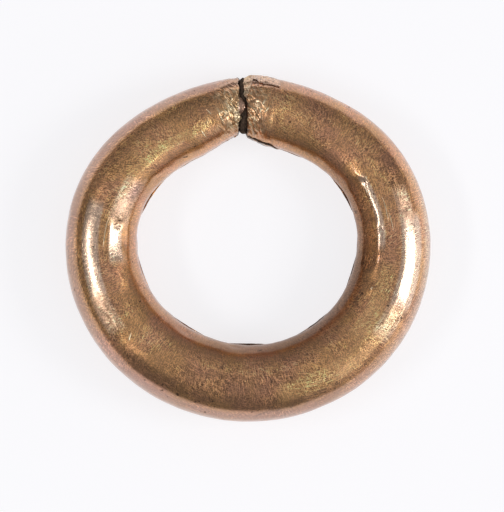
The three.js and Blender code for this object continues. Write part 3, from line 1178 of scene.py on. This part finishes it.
def pressCup(name, endShare, towards, rimFold):
    bm = bmesh.new()
    bmesh.ops.create_uvsphere(bm, u_segments=cup["segments"], v_segments=cup["rings"], radius=1)
    rest = bm.verts[:] + bm.edges[:] + bm.faces[:]
    bmesh.ops.bisect_plane(bm, geom=rest, plane_co=(0, 0, 0), plane_no=(0, 0, 1), clear_inner=True)
    layers = addLayers(bm, ("soilAndShade", "grain", "paintedHighlight"))
    faceReach = sectionAt(endShare)["halfWidth"] - cup["under"] - cup["arris"]
    bent = cup["skirtShare"] + cup["arrisShare"]
    for vert in bm.verts:
        turn = degrees(atan2(vert.co.y, vert.co.x))
        t = asin(min(max(vert.co.z, 0), 1)) / (pi / 2)
        skirt = min(t / cup["skirtShare"], 1)
        arris = min(max((t - cup["skirtShare"]) / cup["arrisShare"], 0), 1) * pi / 2
        inner = max((t - bent) / (1 - bent), 0)
        crease = noise.noise(vert.co * cup["crumpleScale"])
        folded = swell(turn, *cup["foldSpan"]) if rimFold else 0
        clean = folded * smooth(*cup["cleanRamp"], inner)
        run = cup["skirt"] * (skirt - 1) + cup["arris"] * sin(arris)
        run -= cup["dish"] * smooth(0, cup["dishTo"], inner)
        run += rimFold * folded * smooth(0, 1, arris) * smooth(*cup["foldRamp"], inner)
        drawn = cup["arris"] * (1 - cos(arris)) + faceReach * inner
        lift = cup["crumple"] * crease - cup["under"]
        lift += cup["foldLift"] * folded * smooth(0, cup["foldLiftTo"], arris)
        vert.co = foilPoint(endShare, turn, lift, towards * (run + cup["crumple"] * crease), drawn)
        soilAndShade = partWay(cup["leastSoil"], 1, smooth(*cup["soilRamp"], inner))
        # darker in the hollows of the crumples
        soilAndShade += cup["creaseDark"] if crease < cup["creaseBelow"] else 0
        markCorner(vert, layers, {
            "soilAndShade": min(soilAndShade, 1) * (1 - cup["cleanShare"] * clean),
            "grain": 1,
            # painted highlight on the folded-out rim
            "paintedHighlight": cup["paleShare"] * clean,
        })
    faceOutwards(bm, Vector((towards, 0, 0)))
    piece = linkPiece(name, bm, cupFoil, cup["thickness"])
    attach(piece, "root")
    return piece


rightCup = pressCup("rightEndCup", 0.0, -1, 0.0)
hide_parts("right_end_cup")
leftCup = pressCup("leftEndCup", 1.0, 1, cup["leftFold"])
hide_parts("left_end_cup")
print("cups pressed")

# Soil packed between the two ends, and the rod itself, which shows only where the foil has parted
soilPlug = {
    "segments": 96,
    "rings": 40,
    "below": 0.26,
    "insideOuter": 0.05,
    "insideEye": 0.16,
    "lumps": 0.08,
    "lumpScale": 6,
    "fineLumpScale": 15,
    "fineLumpShare": 0.5,
    "bluntPower": 0.4,
}


def packSoil():
    bm = bmesh.new()
    bmesh.ops.create_uvsphere(bm, u_segments=soilPlug["segments"], v_segments=soilPlug["rings"], radius=1)
    right = sectionAt(0.0)
    left = sectionAt(1.0)
    for vert in bm.verts:
        t = 0.5 + 0.5 * vert.co.z
        turn = atan2(vert.co.y, vert.co.x)
        reach = hypot(vert.co.x, vert.co.y) ** soilPlug["bluntPower"]
        centre = left["centre"].lerp(right["centre"], t)
        centreZ = partWay(left["centreZ"], right["centreZ"], t)
        halfWidth = partWay(left["halfWidth"], right["halfWidth"], t)
        halfWidth -= soilPlug["insideOuter"] if cos(turn) > 0 else soilPlug["insideEye"]
        halfHeight = partWay(left["halfHeight"], right["halfHeight"], t) - soilPlug["below"]
        lump = noise.noise(vert.co * soilPlug["lumpScale"])
        lump += soilPlug["fineLumpShare"] * noise.noise(vert.co * soilPlug["fineLumpScale"])
        lump *= soilPlug["lumps"]
        vert.co = Vector((
            (centre.x + originX) * mm,
            (centre.y + (halfWidth + lump) * reach * cos(turn) + originY) * mm,
            (centreZ + (halfHeight + lump) * reach * sin(turn)) * mm,
        ))
    bmesh.ops.recalc_face_normals(bm, faces=bm.faces)
    piece = linkPiece("gapSoil", bm, soilCrust)
    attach(piece, "root")


packSoil()
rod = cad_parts["core_rod"]
rod.data.materials.clear()
rod.data.materials.append(coreMetal)
print("soil packed")

# Floor, light and camera
stage = {
    "floorHalf": 1.5,
    "floorColour": (0.34, 0.34, 0.35, 1),
    "glowColour": (0.985, 0.98, 1.0, 1),
    "floorGlow": 0.755,
    "cameraHeight": 0.55,
    "pixel": 20 / 366 * mm,
    "frameWidth": 504,
    "frameHeight": 512,
    "hoopPixelX": 247.5,
    "hoopPixelY": 248.5,
    "sensor": 24,
}


def makeFloor():
    bm = bmesh.new()
    bmesh.ops.create_grid(bm, x_segments=1, y_segments=1, size=stage["floorHalf"])
    material, tree, shader = newMaterial("pale floor")
    ray = addNode(tree, "ShaderNodeLightPath").outputs
    seen = calculate(tree, "MAXIMUM", ray["Is Camera Ray"], ray["Is Glossy Ray"])
    seen = calculate(tree, "MAXIMUM", seen, ray["Is Transmission Ray"])
    fillAll(tree, shader, {
        "Base Color": stage["floorColour"],
        "Roughness": 1.0,
        "Specular IOR Level": 0.0,
        "Emission Color": stage["glowColour"],
        "Emission Strength": calculate(tree, "MULTIPLY", seen, stage["floorGlow"]),
    })
    floor = linkPiece("floor", bm, material)


makeFloor()

# Softboxes, all at one reach from the hoop, in metres: azimuth and polar angle, width, height, radiance
lampReach = 0.30
lamps = [
    {"name": "right softbox", "azimuth": -6, "polar": 52, "wide": 0.11, "tall": 0.095, "radiance": 6.1},
    {"name": "left strip", "azimuth": 189, "polar": 41, "wide": 0.15, "tall": 0.040, "radiance": 8.5},
    {"name": "front fill", "azimuth": -42, "polar": 50, "wide": 0.15, "tall": 0.15, "radiance": 0.45},
    {"name": "right low glow", "azimuth": -12, "polar": 78, "wide": 0.28, "tall": 0.10, "radiance": 0.9},
    {"name": "front low glow", "azimuth": -52, "polar": 70, "wide": 0.18, "tall": 0.12, "radiance": 0.22},
]


def makeLamps():
    for lamp in lamps:
        light = bpy.data.lights.new(lamp["name"], "AREA")
        light.shape = "RECTANGLE"
        light.size = lamp["wide"]
        light.size_y = lamp["tall"]
        light.energy = lamp["radiance"] * lamp["wide"] * lamp["tall"] * pi
        holder = addObject(lamp["name"], light)
        upwards, level = unit(lamp["polar"])
        x, y = unit(lamp["azimuth"])
        place = Vector((level * x, level * y, upwards))
        holder.location = place * lampReach
        holder.rotation_euler = place.to_track_quat("Z", "Y").to_euler()


makeLamps()

# The room: brightest overhead, and a little brighter towards the right, where the window is
sky = {
    "zenith": (0.46, 0.46, 0.47, 1),
    "middle": (0.26, 0.26, 0.27, 1),
    "middleAt": 0.5,
    "horizon": (0.185, 0.185, 0.195, 1),
    "windowSwing": 0.26,
}


def makeSky():
    world = bpy.data.worlds.new("studio")
    bpy.context.scene.world = world
    world.use_nodes = True
    tree = world.node_tree
    place = addNode(tree, "ShaderNodeTexCoord")
    parts = addNode(tree, "ShaderNodeSeparateXYZ", Vector=place.outputs["Generated"]).outputs
    ramp = addNode(tree, "ShaderNodeValToRGB", Fac=parts["Z"])
    stops = ramp.color_ramp.elements
    stops[0].color = sky["horizon"]
    stops[1].color = sky["zenith"]
    stops.new(sky["middleAt"]).color = sky["middle"]
    swing = sky["windowSwing"]
    strength = rangeOf(tree, parts["X"], -1, 1, 1 - swing, 1 + swing)
    fillAll(tree, tree.nodes["Background"], {"Color": ramp.outputs["Color"], "Strength": strength})


makeSky()


def makeCamera():
    view = bpy.data.cameras.new("camera")
    view.sensor_fit = "VERTICAL"
    view.sensor_height = stage["sensor"]
    middle = 0.5 * (cadBounds[1][2] + cadBounds[0][2])
    height = stage["cameraHeight"]
    view.lens = view.sensor_height * (height - middle) / (stage["frameHeight"] * stage["pixel"])
    holder = addObject("camera", view)
    offX = (stage["frameWidth"] / 2 - stage["hoopPixelX"]) * stage["pixel"]
    offY = (stage["hoopPixelY"] - stage["frameHeight"] / 2) * stage["pixel"]
    holder.location = (originX * mm + offX, originY * mm + offY, height)
    bpy.context.scene.camera = holder


makeCamera()
bpy.context.scene.view_settings.view_transform = "Standard"

print("done")
